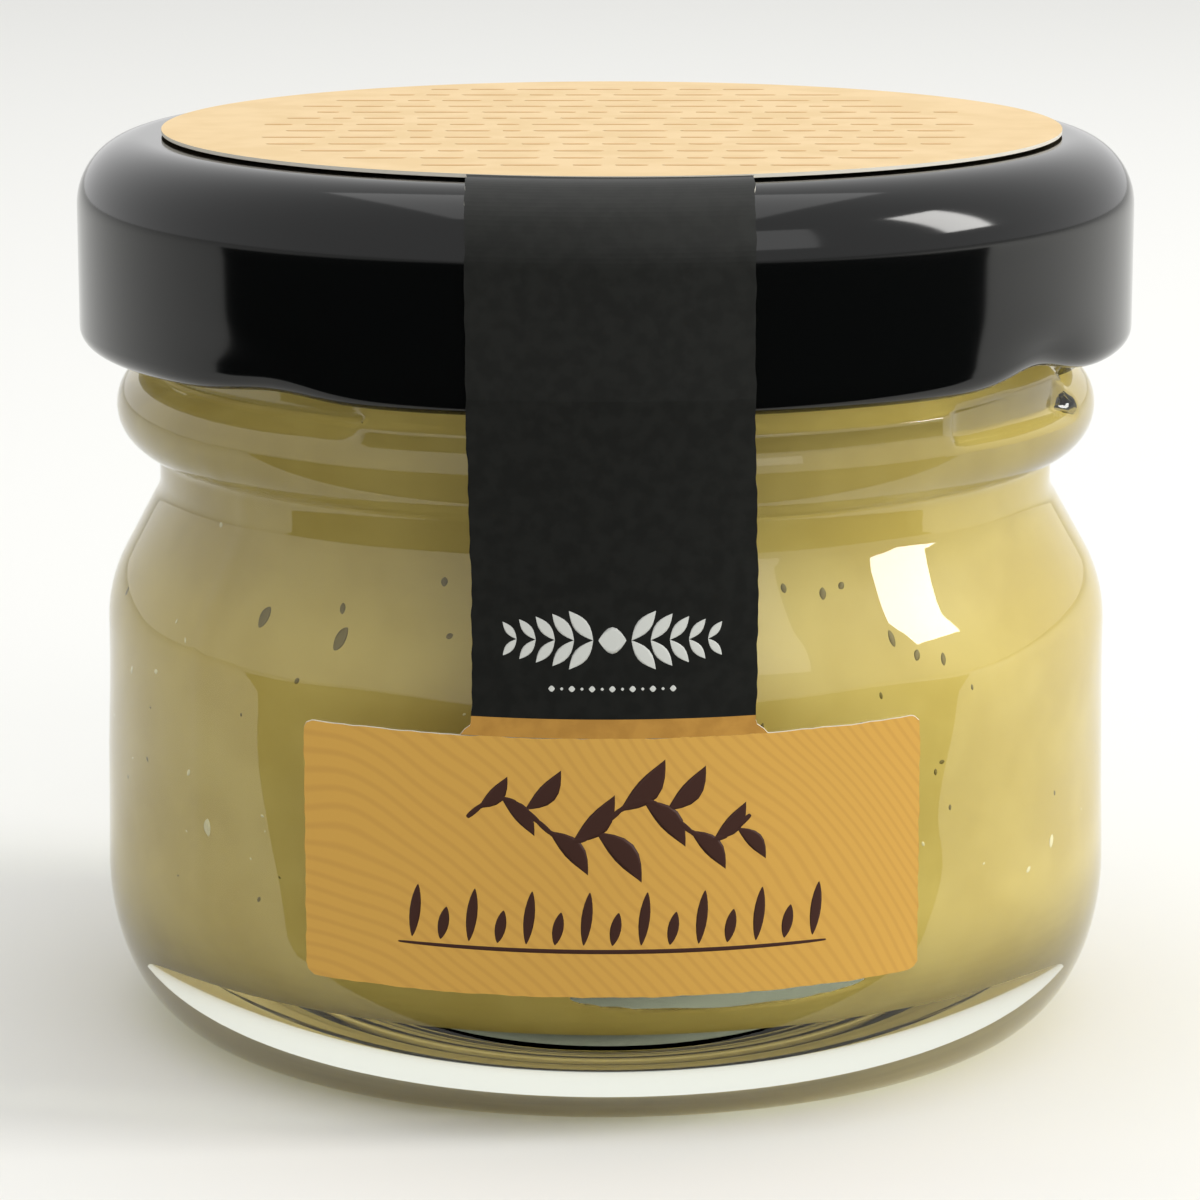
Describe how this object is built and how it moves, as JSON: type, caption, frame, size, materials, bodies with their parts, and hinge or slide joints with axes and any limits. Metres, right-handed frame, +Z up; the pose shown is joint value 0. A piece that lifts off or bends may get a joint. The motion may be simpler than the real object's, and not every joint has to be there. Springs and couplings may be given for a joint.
{
  "type": "jar of mustard",
  "caption": "Small round glass jar filled with mustard, with a bead under a black twist cap and a paper seal label that runs from the cap down to a front panel.",
  "frame": {"origin": "centre of the ring that the jar stands on", "axes": "+Z up along the jar's axis, the label's front faces -Y, +X to the right of someone who reads it"},
  "size_m": [0.0456, 0.0458, 0.0389],
  "materials": {
    "clear_glass": "clear pressed soda-lime glass, glossy",
    "mustard_paste": "smooth wet paste, pale olive yellow with small dark air bubbles",
    "black_enamel": "glossy black lacquer on tinplate",
    "label_paper": "satin coated paper, ochre panel and disc with a matt near-black strip and a white cut edge"
  },
  "bodies": {
    "root": {"glass_jar": "clear_glass", "mustard": "mustard_paste", "cap": "black_enamel", "seal_label": "label_paper"}
  },
  "joints": []
}
